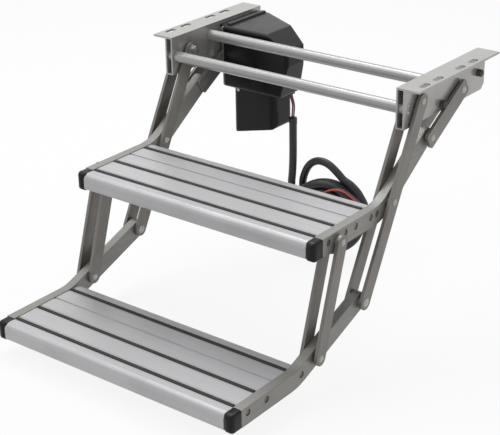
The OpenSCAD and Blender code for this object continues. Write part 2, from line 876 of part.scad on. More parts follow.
echo(least_gap_between_coil_turns = min(coil_apart) - lead_d);

module cable_gland() {
    color("black")
        translate([gland_at[0], gland_at[1], -cover_bottom - gland_h])
            union() {
                cylinder(r = gland_r + gland_flange, h = gland_h);
                cylinder(r = gland_r, h = gland_h + cover_wall + past);
            }
}

module motor_wires() {
    color("firebrick")
        for (way = [-1, 1])
            tube_along(moved(wire_route, [way * gland_wire_gap, 0, 0]), wire_d, 8);
}

module lead_sheath() {
    color("black")
        tube_along(concat(sheath_route, [coil_in - lead_d * coil_in_way, coil_in]), lead_d, 8);
}

module lead_coil() { color("black") tube_along(coil_path, lead_d, 6); }

module lead_tail() {
    color("black")
        tube_along(concat([coil_out, coil_out + lead_d * coil_out_way], tail_route), lead_d, 8);
}

module lead_connector() {
    end = tail_route[len(tail_route) - 1];
    color("black")
        translate(end - [0, 0, connector_l])
            union() {
                cylinder(r = connector_r, h = connector_l - connector_neck_l);
                cylinder(r = connector_r - connector_step, h = connector_l);
            }
}

// The boot on the tail's front from which the two pigtail wires branch off
module tail_splice() {
    foot = pigtail_route[0] + pigtail_beside / 2;
    color("black")
        translate(foot - [0, 0, splice_l])
            cylinder(r = splice_r, h = splice_l);
}

module pigtail_wires() {
    color("chocolate")
        for (way = [0, 1])
            tube_along(moved(pigtail_route, way * pigtail_beside), wire_d, 8);
}

module wire_terminals() {
    end = pigtail_route[len(pigtail_route) - 1];
    color("goldenrod")
        for (way = [0, 1])
            translate(end + way * pigtail_beside - [0, 0, terminal_l])
                cylinder(r = terminal_r, h = terminal_l);
}

// A flat band round all turns at the bottom of the coil
module coil_tie() {
    wide = 2 * (coil_step / 2 + lead_d / 2 + stop_gap);
    deep = coil_half * coil_step + lead_d + 2 * stop_gap;
    middle = coil_inner + coil_half * coil_step / 2;
    color("black")
        translate(coil_at)
            rotate([0, 0, coil_twist])
                translate([0, 0, -middle])
                    difference() {
                        cube([tie_w, wide + 2 * tie_t, deep + 2 * tie_t], center = true);
                        cube([tie_w + 2 * past, wide, deep], center = true);
                    }
}

// Long links

module long_link(x0) {
    bar(long_top, long_foot, long_bar_w, x0,
        [[0, bolt_r + fit], [link_half, pin_r + fit], [2 * link_half, pin_r + fit]]);
}

module left_outer_long_link() { color("gray") at_side(-1) long_link(outer_bar_x); }
module left_inner_long_link() { color("gray") at_side(-1) long_link(inner_bar_x); }
module right_outer_long_link() { color("gray") at_side(1) long_link(outer_bar_x); }
module right_inner_long_link() { color("gray") at_side(1) long_link(inner_bar_x); }

// Treads, drawn in their own frame: first grip strip at y = 0, deck top at z = 0

module quarter(r, t, way) {
    intersection() {
        difference() {
            circle(r);
            circle(r - t);
        }
        translate([way > 0 ? 0 : -r, 0])
            square(r);
    }
}

module deck_outline(screws) {
    front = -nose_reach;
    difference() {
        union() {
            translate([front + nose_r, -deck_t]) square([nose_reach - nose_r + deck_rear - rear_r, deck_t]);
            translate([front + nose_r, -nose_r]) quarter(nose_r, deck_t, -1);
            translate([front, -nose_drop]) square([deck_t, nose_drop - nose_r]);
            translate([front, -nose_drop]) square([lip_d, deck_t]);
            translate([deck_rear - rear_r, -rear_r]) quarter(rear_r, deck_t, 1);
            translate([deck_rear - deck_t, -rear_drop]) square([deck_t, rear_drop - rear_r]);
            translate([deck_rear - lip_d, -rear_drop]) square([lip_d, deck_t]);
            for (y = strip_places)
                translate([y - band_w / 2 - pad_edge, -pad_t]) square([band_w + 2 * pad_edge, pad_t]);
            for (y = screws) {
                translate([y, -screw_z]) circle(screw_r + fit + boss_wall);
                translate([y - web_t / 2, -screw_z]) square([web_t, screw_z - deck_t / 2]);
            }
        }
        for (y = strip_places) {
            translate([y - band_w / 2, -band_deep]) square([band_w, band_deep + past]);
            translate([y - strip_w / 2, -strip_deep]) square([strip_w, strip_deep + past]);
        }
        translate([groove_at - groove_w / 2, -groove_deep]) square([groove_w, groove_deep + past]);
        for (y = screws)
            translate([y, -screw_z]) circle(screw_r + fit);
    }
}

module at_home(home) {
    translate([0, home[0], home[1]])
        children();
}

module deck(home, screws) {
    color("lightgray")
        at_home(home)
            across(-rail_in, deck_w)
                deck_outline(screws);
}

module grip_strips(home) {
    color("black")
        at_home(home)
            for (y = strip_places)
                across(-rail_in + strip_short, deck_w - 2 * strip_short)
                    translate([y - strip_w / 2 + fit, -strip_deep])
                        square([strip_w - 2 * fit, strip_deep + strip_proud]);
}

// A straight rail that bends up and ends round at the point end
module rail_outline(h, end, rise, front) {
    bend_y = end[0] - (end[1] - rail_mid_z) / tan(rise);
    run = bend_r * tan(rise / 2);
    bend_end = [bend_y + run * cos(rise), rail_mid_z + run * sin(rise)];
    reach = 2 * (bend_r + h);
    translate([front, rail_mid_z - h / 2]) square([bend_y - run - front, h]);
    translate([bend_y - run, rail_mid_z + bend_r])
        intersection() {
            difference() {
                circle(bend_r + h / 2);
                circle(bend_r - h / 2);
            }
            polygon([[0, 0], [0, -reach], [reach * sin(rise), -reach * cos(rise)]]);
        }
    translate(bend_end)
        rotate(rise)
            translate([-seam, -h / 2])
                square([norm(end - bend_end) + seam, h]);
    translate(end) circle(h / 2);
}

// holes is a list of [point, radius] through both walls, in the tread's frame
module rail(home, end, rise, holes, screws) {
    at_home(home)
        difference() {
            across(rail_in, rail_w)
                rail_outline(rail_h, end, rise, rail_front);
            across(rail_in + rail_wall, rail_w - 2 * rail_wall)
                rail_outline(rail_h - 2 * rail_wall, end, rise, rail_front - past);
            for (h = holes)
                rod(h[0], h[1], rail_in - past, rail_out + past);
            for (y = screws) {
                rod([y, -screw_z], screw_r + fit, rail_in - past, rail_in + rail_wall + past);
                rod([y, -screw_z], screw_head_r + screw_hole_gap, rail_out - rail_wall - past, rail_out + past);
            }
        }
}

module rail_cap(home) {
    low = rail_over - rail_h;
    inside = rail_wall + fit;
    at_home(home)
        union() {
            intersection() {
                across(rail_in, rail_w)
                    union() {
                        translate([cap_front + cap_r, low]) square([cap_l - cap_r, rail_h]);
                        translate([cap_front + cap_low_r, low]) square([cap_l - cap_low_r, rail_h - cap_r]);
                        translate([cap_front, low + cap_low_r]) square([cap_l, rail_h - cap_r - cap_low_r]);
                        translate([cap_front + cap_r, rail_over - cap_r]) circle(cap_r);
                        translate([cap_front + cap_low_r, low + cap_low_r]) circle(cap_low_r);
                    }
                translate([0, 0, low])
                    linear_extrude(rail_h)
                        union() {
                            translate([rail_in + cap_inner_r, cap_front])
                                square([rail_w - cap_inner_r - cap_plan_r, cap_l]);
                            translate([rail_in, cap_front + cap_inner_r])
                                square([rail_w - cap_plan_r, cap_l - cap_inner_r]);
                            translate([rail_in + cap_inner_r, cap_front + cap_plan_r])
                                square([rail_w - cap_inner_r, cap_l - cap_plan_r]);
                            translate([rail_in + cap_inner_r, cap_front + cap_inner_r]) circle(cap_inner_r);
                            translate([rail_out - cap_plan_r, cap_front + cap_plan_r]) circle(cap_plan_r);
                        }
            }
            translate([rail_in + inside, rail_front - past, low + inside])
                cube([rail_w - 2 * inside, plug_l + past, rail_h - 2 * inside]);
        }
}

module deck_screws(home, screws) {
    color("dimgray")
        at_home(home)
            both_sides()
                for (y = screws) {
                    rod([y, -screw_z], screw_r, rail_in - screw_grip, rail_out - screw_sunk);
                    rod([y, -screw_z], screw_head_r, rail_in + rail_wall, rail_out - screw_sunk);
                }
}

// A rivet pin through an inner bar, a rail and an outer bar, with a collar before the outer bar
module hinge_pin(at, r, head_r) {
    inner = inner_bar_x - slide;
    outer = outer_bar_end + slide;
    rod(at, r, inner - pin_head_h / 2, outer + pin_head_h / 2);
    rod(at, pin_collar_r, rail_out, outer_bar_x - slide);
    dome(at, head_r, pin_head_h, inner, -1);
    dome(at, head_r, pin_head_h, outer, 1);
}

module upper_rail() {
    rail(upper_home, crank_eye - upper_home, upper_rise,
        [[[upper_pivot_y, 0], pin_r + fit], [[short_pivot_y, -short_pivot_z], short_pin_r + fit],
        [crank_eye - upper_home, eye_r + bush_wall + fit]], upper_screw_places);
}

module upper_deck() { deck(upper_home, upper_screw_places); }
module upper_grip_strips() { grip_strips(upper_home); }
module upper_left_rail() { color("darkgray") at_side(-1) upper_rail(); }
module upper_right_rail() { color("darkgray") at_side(1) upper_rail(); }
module upper_rail_caps() { color([0.16, 0.16, 0.16]) both_sides() rail_cap(upper_home); }
module upper_deck_screws() { deck_screws(upper_home, upper_screw_places); }
module upper_hinge_pins() { color("silver") both_sides() hinge_pin(long_mid, pin_r, pin_head_r); }
module short_link_pins() { color("silver") both_sides() hinge_pin(short_top, short_pin_r, short_head_r); }

// A bush through a rail that stands out as far as the outer bar
module eye_bush(at) {
    ring(at, eye_r + bush_wall, eye_r + fit, rail_in, outer_bar_x - slide);
}

module crank_eye_bushes() { color("dimgray") both_sides() eye_bush(crank_eye); }

module lower_rail() {
    rail(lower_home, long_foot - lower_home, lower_rise,
        [[long_foot - lower_home, pin_r + fit], [[lower_eye_y, lower_eye_z], eye_r + bush_wall + fit]],
        lower_screw_places);
}

module lower_deck() { deck(lower_home, lower_screw_places); }
module lower_grip_strips() { grip_strips(lower_home); }
module lower_left_rail() { color("darkgray") at_side(-1) lower_rail(); }
module lower_right_rail() { color("darkgray") at_side(1) lower_rail(); }
module lower_rail_caps() { color([0.16, 0.16, 0.16]) both_sides() rail_cap(lower_home); }
module lower_deck_screws() { deck_screws(lower_home, lower_screw_places); }
module lower_hinge_pins() { color("silver") both_sides() hinge_pin(long_foot, pin_r, foot_head_r); }
module short_link_eye_bushes() { color("dimgray") both_sides() eye_bush(short_foot); }

// Short links and cranks; the rivets in their free eyes end flush with the bars' inner sides

module short_links() {
    for (x = [inner_bar_x, outer_bar_x])
        bar(short_top, short_foot, short_bar_w, x,
            [[0, short_pin_r + fit], [norm(short_foot - short_top), eye_r + fit]]);
}

module left_short_links() { color("gray") at_side(-1) short_links(); }
module right_short_links() { color("gray") at_side(1) short_links(); }

module short_link_rivets() {
    color("silver")
        both_sides() {
            rod(short_foot, eye_r, outer_bar_x, outer_bar_end + pin_head_h / 2);
            dome(short_foot, short_head_r, pin_head_h, outer_bar_end, 1);
            rod(short_foot, eye_r, inner_bar_x - pin_head_h / 2, inner_bar_x + bar_t);
            dome(short_foot, short_head_r, pin_head_h, inner_bar_x, -1);
        }
}

// A crank strip is cut square at both ends, with small round corners
module crank_strip() {
    span = norm(crank_span);
    side = crank_w / 2 - crank_corner;
    reach = crank_over - crank_corner;
    difference() {
        union() {
            translate([-reach, -crank_w / 2]) square([span + 2 * reach, crank_w]);
            translate([-crank_over, -side]) square([span + 2 * crank_over, 2 * side]);
            for (x = [-reach, span + reach], y = [-side, side])
                translate([x, y]) circle(crank_corner);
        }
        circle(shaft_r + fit);
        translate([span, 0]) circle(eye_r + fit);
    }
}

module crank_strips() {
    for (x = [inner_bar_x, outer_bar_x])
        translate([x, crank_hub[0], crank_hub[1]])
            rotate([crank_rest, 0, 0])
                across(0, bar_t)
                    crank_strip();
}

module left_cranks() { color("gray") at_side(-1) crank_strips(); }
module right_cranks() { color("gray") at_side(1) crank_strips(); }

module crank_rivets() {
    color("silver")
        both_sides() {
            rod(crank_eye, eye_r, outer_bar_x, outer_bar_end + pin_head_h / 2);
            dome(crank_eye, pin_head_r, pin_head_h, outer_bar_end, 1);
            rod(crank_eye, eye_r, inner_bar_x, inner_bar_x + bar_t);
        }
}

// The left shaft runs on into the gearbox, the right one ends in a head
module crank_shafts() {
    head_r = shaft_r + shaft_head;
    color("silver") {
        both_sides() {
            rod(crank_hub, shaft_r, inner_bar_x, outer_bar_end + pin_head_h / 2);
            dome(crank_hub, head_r, pin_head_h, outer_bar_end, 1);
        }
        rod(crank_hub, shaft_r, -inner_bar_x - past, -base_x + base_t + shaft_grip);
        rod(crank_hub, shaft_r, inner_bar_x - pin_head_h / 2, inner_bar_x + past);
        dome(crank_hub, head_r, pin_head_h, inner_bar_x, -1);
    }
}

left_bracket();
right_bracket();
front_cross_tube();
rear_cross_tube();
tube_plugs();
tube_rivets();
link_pivot_bolts();
link_pivot_nuts();
link_spacers();
crank_bushes();
stop_buffers();
buffer_screws();
motor_base_plate();
motor_standoffs();
gearbox_case();
motor_can();
motor_cover();
control_cover();
control_board();
cover_screws();
cable_gland();
motor_wires();
lead_sheath();
lead_coil();
lead_tail();
tail_splice();
lead_connector();
pigtail_wires();
wire_terminals();
coil_tie();
left_outer_long_link();
left_inner_long_link();
right_outer_long_link();
right_inner_long_link();
upper_deck();
upper_grip_strips();
upper_left_rail();
upper_right_rail();
upper_rail_caps();
upper_deck_screws();
upper_hinge_pins();
short_link_pins();
crank_eye_bushes();
lower_deck();
lower_grip_strips();
lower_left_rail();
lower_right_rail();
lower_rail_caps();
lower_deck_screws();
lower_hinge_pins();
short_link_eye_bushes();
left_short_links();
right_short_links();
short_link_rivets();
left_cranks();
right_cranks();
crank_rivets();
crank_shafts();
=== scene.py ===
import json
import math

import bmesh
import bpy
import numpy as np
from mathutils import Matrix, Vector


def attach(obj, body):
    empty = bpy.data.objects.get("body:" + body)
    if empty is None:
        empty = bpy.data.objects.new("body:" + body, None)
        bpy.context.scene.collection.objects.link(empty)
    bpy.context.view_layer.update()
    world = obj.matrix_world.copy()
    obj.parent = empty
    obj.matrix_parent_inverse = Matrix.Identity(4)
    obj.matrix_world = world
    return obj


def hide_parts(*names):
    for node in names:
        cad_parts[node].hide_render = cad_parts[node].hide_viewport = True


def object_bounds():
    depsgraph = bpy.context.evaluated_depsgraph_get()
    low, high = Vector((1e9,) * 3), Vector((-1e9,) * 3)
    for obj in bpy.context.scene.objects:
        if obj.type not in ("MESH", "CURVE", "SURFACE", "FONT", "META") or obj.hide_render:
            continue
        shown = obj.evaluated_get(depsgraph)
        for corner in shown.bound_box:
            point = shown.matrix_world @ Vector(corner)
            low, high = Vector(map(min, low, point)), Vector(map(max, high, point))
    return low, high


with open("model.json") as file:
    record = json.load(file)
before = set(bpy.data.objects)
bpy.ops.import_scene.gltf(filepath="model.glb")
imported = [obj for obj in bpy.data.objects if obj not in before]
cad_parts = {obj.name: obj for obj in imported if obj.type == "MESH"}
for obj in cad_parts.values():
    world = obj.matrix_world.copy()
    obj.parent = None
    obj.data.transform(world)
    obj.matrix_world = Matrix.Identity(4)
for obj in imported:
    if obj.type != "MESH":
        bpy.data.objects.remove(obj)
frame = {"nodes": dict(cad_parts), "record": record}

# Folding caravan step, unfolded as photographed.
# Treads, caps and lead are in millimetres; meshes, camera, floor and lamps are in metres.
MM = 0.001
cad_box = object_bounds()
nodes = frame["nodes"]
slot_of = {part["node"]: part["material_slot"] for part in frame["record"]["subparts"]}

# Camera, solved from the photograph
CAMERA_AT = (1.1404, -1.6192, 0.6086)
CAMERA_AZIMUTH = math.radians(38.13)
CAMERA_ELEVATION = math.radians(24.21)
CAMERA_ROLL = math.radians(-0.92)
FOCAL_PIXELS = 1373.2
IMAGE_WIDTH = 500
SENSOR_MM = 36.0

# Treads, each measured from its own home: first grip strip at y 0, deck top at z 0
UPPER_HOME = np.array([0.0, -281.073, -155.027])
LOWER_HOME = np.array([0.0, -458.147, -326.055])
TREADS = (("upper", UPPER_HOME), ("lower", LOWER_HOME))
STRIP_PLACES = (0.0, 43.0, 111.0)
STRIP_WIDTH = 5.9
STRIP_LENGTH = 395.0
STRIP_DEEP = 2.2
STRIP_PROUD = 0.4
STRIP_RIBS = 3
STRIP_POINTS = 25
RIB_DEEP = 0.22

# End caps on the treads' front corners
CAP_MIDDLE_X = 206.1
CAP_MIDDLE_Z = -12.9
CAP_HALF_W = 7.9
CAP_HALF_H = 14.3
CAP_FRONT = -25.5
CAP_BACK = -4.5
CAP_FRONT_ROUND = 7.5
CAP_SIDE_ROUND = 4.2
CAP_LEAST_ROUND = 0.4
CAP_LEAST_HALF = 0.6
CAP_RINGS = 14
CAP_CORNER_POINTS = 8
CAP_SHARP = math.radians(50)

# Lead, in the order in which it runs, with the route's points from the solids
LEAD_D = 12.5
WIRE_D = 2.6
WIRE_ROUTE = [(-90, 60, -110), (-90, 60, -112.5), (-88.6, 59.8, -118), (-86, 59, -124), (-84.3, 58.4, -131),
              (-84.4, 58, -138), (-85, 58, -146), (-85, 58, -150)]
WIRE_APART = 1.7
SHEATH_ROUTE = [(-85, 58, -150), (-85, 58, -165), (-85, 58, -185), (-85, 58, -205), (-84.9, 57.5, -222),
                (-84.6, 56, -238), (-84, 53, -254), (-83.5, 49, -270)]
TAIL_ROUTE = [(42.6, 79, -292), (41, 79, -279), (35, 78.5, -268.5), (27, 78, -258.5), (15, 76, -248.5),
              (4, 74.3, -243), (-8, 72.5, -232), (-22, 71, -222), (-33, 70, -218.5), (-44, 69, -219),
              (-54, 68, -224), (-62, 67, -233), (-68, 66.5, -246), (-71, 66, -258), (-71, 66, -272)]
PIGTAIL_ROUTE = [(46, 68, -290.5), (46, 68, -288), (43.4, 66.8, -273.8), (33.5, 64.3, -264.9),
                 (22.5, 60.8, -256.5), (10.8, 56.5, -251.6), (-2, 51.9, -252.5), (-13.3, 47.8, -257.8),
                 (-22.7, 44.3, -266), (-28.3, 42.3, -276.5), (-30.2, 41.6, -287.5), (-30.2, 41.6, -290)]
PIGTAIL_BESIDE = np.array([0.0, -4.0, 0.0])
COIL_AT = np.array([-23.0, 60.0, -304.5])
COIL_TURNS = 4.45
COIL_POINTS_PER_TURN = 24
COIL_R = 64.0
COIL_STEP = 13.2
COIL_TWIST = math.radians(20.0)

# Turned pieces on the lead, as (depth, radius) pairs from the top down
COLLAR_PROFILE = [(0, 3.6), (0.4, 5.4), (1.4, 6.6), (10, 6.6), (11.2, 6.4), (11.6, 6.26)]
PLUG_PROFILE = [(0, 6.3), (0.4, 6.9), (2.5, 6.9), (3, 6.4), (4, 6.4), (4.5, 6.9), (6.5, 6.9), (7, 6.5),
                (8, 6.5), (8.2, 7.6), (9, 8), (11, 8), (11.4, 7.6), (12.4, 7.6), (12.8, 8), (14, 8),
                (14.4, 7.6), (15.4, 7.6), (15.8, 8), (24.6, 8), (25.6, 7.4), (26, 7.0), (26, 6.0),
                (22, 5.8), (22, 0.4)]
BOOT_PROFILE = [(0, 4.0), (0.4, 4.8), (1.5, 5.2), (6, 5.0), (9, 5.2), (12, 5.0), (13.4, 4.4), (14, 3.2)]
CRIMP_PROFILE = [(0, 1.35), (0.4, 1.8), (6, 1.8), (6.6, 1.4), (8.4, 1.4), (9, 1.8), (13, 1.8), (14.4, 1.5),
                 (15, 0.8)]
TURNED_SIDES = 40
CRIMP_SIDES = 20
TURNED_SHARP = math.radians(35)
# Collar and crimps reach this far up over the wires that they hold
GRIP = np.array([0.0, 0.0, 1.0])

# Tubes: sides of a ring, spacing of the rings, and the rings that close an end
LEAD_SIDES = 24
WIRE_SIDES = 16
LEAD_SPACING = 2.0
WIRE_SPACING = 1.5
END_RINGS = 5
END_START = 0.02
CURVE_STEPS = 24
# Directions that none of the paths runs along, from which the rings are turned
WIRE_SIDE_WAY = np.array([0.0, 1.0, 0.0])
LEAD_SIDE_WAY = np.array([0.2, 1.0, 0.05])
PIGTAIL_SIDE_WAY = np.array([0.0, 1.0, 0.3])


# Meshes


def put_mesh(name, points, faces, smooth=True):
    """A mesh object at the origin from points in metres and faces."""
    mesh = bpy.data.meshes.new(name)
    mesh.from_pydata(points.tolist(), [], [tuple(f) for f in faces])
    mesh.polygons.foreach_set("use_smooth", np.full(len(mesh.polygons), smooth))
    mesh.update()
    obj = bpy.data.objects.new(name, mesh)
    bpy.context.scene.collection.objects.link(obj)
    return obj


def closed_rings(name, points, count, smooth=True):
    """A closed skin over rings of count points, in mm: quads between the rings, a flat face at each end."""
    points = points.reshape(-1, 3)
    ring = np.arange(len(points) // count - 1)[:, None] * count
    here = np.arange(count)[None, :]
    beside = (here + 1) % count
    quads = np.stack([ring + here, ring + beside, ring + count + beside, ring + count + here], axis=-1)
    ends = [range(count), range(len(points) - count, len(points))]
    obj = put_mesh(name, points * MM, quads.reshape(-1, 4).tolist() + ends, smooth)
    work = bmesh.new()
    work.from_mesh(obj.data)
    bmesh.ops.recalc_face_normals(work, faces=work.faces)
    work.to_mesh(obj.data)
    work.free()
    return obj


def tangents(path):
    """Unit directions along a path, each from the neighbours on both sides."""
    ahead = np.vstack([path[1:], path[-1:]])
    behind = np.vstack([path[:1], path[:-1]])
    way = ahead - behind
    return way / np.linalg.norm(way, axis=1, keepdims=True)


def smooth_path(points, spacing):
    """Centripetal Catmull-Rom curve through points, resampled at about that spacing.

    Between two points it blends three straight runs, each weighted by the square root of the distance
    between its ends, so that it neither loops nor overshoots.
    """
    p = np.asarray(points, dtype=float)
    p = np.vstack([2 * p[0] - p[1], p, 2 * p[-1] - p[-2]])
    knots = np.concatenate([[0.0], np.cumsum(np.sqrt(np.linalg.norm(np.diff(p, axis=0), axis=1)))])
    fine = np.linspace(0, 1, CURVE_STEPS, endpoint=False)
    t = (knots[1:-2, None] + fine[None, :] * np.diff(knots)[1:-1, None])[..., None]
    k = [knots[i:len(knots) - 3 + i, None, None] for i in range(4)]
    q = [p[i:len(p) - 3 + i, None, :] for i in range(4)]
    a = [((k[i + 1] - t) * q[i] + (t - k[i]) * q[i + 1]) / (k[i + 1] - k[i]) for i in range(3)]
    b = [((k[i + 2] - t) * a[i] + (t - k[i]) * a[i + 1]) / (k[i + 2] - k[i]) for i in range(2)]
    curve = ((k[2] - t) * b[0] + (t - k[1]) * b[1]) / (k[2] - k[1])
    curve = np.vstack([curve.reshape(-1, 3), p[-2]])
    steps = np.linalg.norm(np.diff(curve, axis=0), axis=1)
    along = np.concatenate([[0.0], np.cumsum(steps)])
    places = np.linspace(0, along[-1], max(2, round(along[-1] / spacing)))
    return np.stack([np.interp(places, along, curve[:, i]) for i in range(3)], axis=1)


def with_ends(rows):
    """Rows along a path, the first and the last one repeated for the rings that close the ends."""
    first = np.repeat(rows[:1], END_RINGS, axis=0)
    last = np.repeat(rows[-1:], END_RINGS, axis=0)
    return np.concatenate([first, rows, last])


def tube(name, path, diameter, sides, side_way):
    """A round tube along a path in mm: each ring is a circle square to the path, turned from side_way.

    An end closes flat over rings of the radius r sin(pi t), with t from END_START to one half.
    """
    way = tangents(path)
    first = np.cross(way, side_way)
    first /= np.linalg.norm(first, axis=1, keepdims=True)
    second = np.cross(way, first)
    closing = np.sin(np.linspace(END_START, 0.5, END_RINGS) * math.pi)
    radius = 0.5 * diameter * np.concatenate([closing, np.ones(len(path)), closing[::-1]])[:, None, None]
    turn = np.linspace(0, 2 * math.pi, sides, endpoint=False)[None, :, None]
    outward = np.cos(turn) * with_ends(first)[:, None] + np.sin(turn) * with_ends(second)[:, None]
    return closed_rings(name, with_ends(path)[:, None] + radius * outward, sides)


def carried_profile(name, profile, start, end):
    """A closed (y, z) profile carried straight along X from start to end, in mm, with flat ends."""
    rings = [np.column_stack([np.full(len(profile), x), profile]) for x in (start, end)]
    return closed_rings(name, np.stack(rings), len(profile), smooth=False)


def turned(name, top, profile, sides=TURNED_SIDES):
    """A turned piece hanging from the point top, in mm: (depth, radius) pairs spun round the upright.

    Each pair is a ring x = r cos a, y = r sin a at that depth, with a flat face at each end.
    """
    depth, radius = np.array(profile, dtype=float).T
    turn = np.linspace(0, 2 * math.pi, sides, endpoint=False)
    x = top[0] + radius[:, None] * np.cos(turn)
    y = top[1] + radius[:, None] * np.sin(turn)
    z = np.broadcast_to((top[2] - depth)[:, None], x.shape)
    obj = closed_rings(name, np.stack([x, y, z], axis=-1), sides)
    obj.data.set_sharp_from_angle(angle=TURNED_SHARP)
    return obj


# Materials

# Sharp edges catch the light over this radius
EDGE_MM = 0.7
# Clouds on metal and rubbed patches on plastic are about this large
CLOUD_MM = 60
PATCH_MM = 35
# The part of a noise's range that is used, for one noise and for the sum of two
NOISE_RANGE = (0.3, 0.7)
NOISE_SUM_RANGE = (0.7, 1.3)
# Roughness varies by this much round its value
METAL_SPREAD = 0.06
PLASTIC_LESS = 0.05
PLASTIC_MORE = 0.07
# Height of the relief at full strength
METAL_RELIEF_MM = 0.2
PLASTIC_RELIEF_MM = 0.3


def linear(colour):
    """An sRGB hex colour as linear RGBA."""
    c = np.array([int(colour[i:i + 2], 16) for i in (1, 3, 5)]) / 255
    c = np.where(c <= 0.04045, c / 12.92, ((c + 0.055) / 1.055) ** 2.4)
    return (*c, 1.0)


def add(tree, kind, inputs, **settings):
    """Adds one node with its settings; an input takes a value or another node's output."""
    node = tree.nodes.new(kind)
    for key, value in settings.items():
        setattr(node, key, value)
    for key, value in inputs.items():
        if isinstance(value, bpy.types.NodeSocket):
            tree.links.new(value, node.inputs[key])
        else:
            node.inputs[key].default_value = value
    return node


def emptied(owner):
    """The node tree of a material or world, with nothing in it."""
    owner.use_nodes = True
    owner.node_tree.nodes.clear()
    return owner.node_tree


def mapped(tree, value, limits, low, high):
    """A value's share of its limits, spread from low to high."""
    spread = add(tree, "ShaderNodeMapRange", {
        "Value": value, "From Min": limits[0], "From Max": limits[1], "To Min": low, "To Max": high})
    return spread.outputs["Result"]


def surface(tree, tint, roughness, height, bump, relief_mm, edge_mm, constants):
    """The shader of a finish: tint, roughness, relief over softened edges, and constant values."""
    edge = add(tree, "ShaderNodeBevel", {"Radius": edge_mm * MM})
    relief = add(tree, "ShaderNodeBump", {
        "Height": height, "Strength": bump, "Distance": relief_mm * MM, "Normal": edge.outputs["Normal"]})
    shader = add(tree, "ShaderNodeBsdfPrincipled", {
        "Base Color": tint, "Roughness": roughness, "Normal": relief.outputs["Normal"], **constants})
    add(tree, "ShaderNodeOutputMaterial", {"Surface": shader.outputs["BSDF"]})


def worked_metal(name, colour, worn, metallic, roughness, grain_mm, bump, edge_mm=EDGE_MM):
    """A metal with lines or clouds from its making: noise stretched to grain_mm = (x, y, z) lengths."""
    mat = bpy.data.materials.new(name)
    tree = emptied(mat)
    place = add(tree, "ShaderNodeTexCoord", {}).outputs["Object"]
    lines = add(tree, "ShaderNodeMapping", {"Vector": place, "Scale": [1 / (g * MM) for g in grain_mm]})
    fine = add(tree, "ShaderNodeTexNoise", {
        "Vector": lines.outputs["Vector"], "Scale": 1.0, "Detail": 3.0, "Roughness": 0.6})
    cloud = add(tree, "ShaderNodeTexNoise", {
        "Vector": place, "Scale": 1 / (CLOUD_MM * MM), "Detail": 4.0, "Roughness": 0.55})
    both = add(tree, "ShaderNodeMath", {0: fine.outputs["Fac"], 1: cloud.outputs["Fac"]}, operation="ADD")
    share = mapped(tree, both.outputs["Value"], NOISE_SUM_RANGE, 0.0, 1.0)
    tint = add(tree, "ShaderNodeMix", {
        "Factor": share, "A": linear(worn), "B": linear(colour)}, data_type="RGBA")
    dull = mapped(tree, both.outputs["Value"], NOISE_SUM_RANGE,
                  roughness + METAL_SPREAD, roughness - METAL_SPREAD)
    surface(tree, tint.outputs["Result"], dull, fine.outputs["Fac"], bump, METAL_RELIEF_MM, edge_mm,
            {"Metallic": metallic})
    return mat


def moulded(name, colour, worn, roughness, grain_mm, bump, ior=1.5, edge_mm=EDGE_MM):
    """A moulded plastic or rubber: grain in its relief, and faint rubbed patches in colour and gloss."""
    mat = bpy.data.materials.new(name)
    tree = emptied(mat)
    place = add(tree, "ShaderNodeTexCoord", {}).outputs["Object"]
    grain = add(tree, "ShaderNodeTexNoise", {
        "Vector": place, "Scale": 1 / (grain_mm * MM), "Detail": 2.0, "Roughness": 0.5})
    patch = add(tree, "ShaderNodeTexNoise", {
        "Vector": place, "Scale": 1 / (PATCH_MM * MM), "Detail": 4.0, "Roughness": 0.6})
    tint = add(tree, "ShaderNodeMix", {
        "Factor": patch.outputs["Fac"], "A": linear(colour), "B": linear(worn)}, data_type="RGBA")
    gloss = mapped(tree, patch.outputs["Fac"], NOISE_RANGE,
                   roughness - PLASTIC_LESS, roughness + PLASTIC_MORE)
    surface(tree, tint.outputs["Result"], gloss, grain.outputs["Fac"], bump, PLASTIC_RELIEF_MM, edge_mm,
            {"IOR": ior})
    return mat


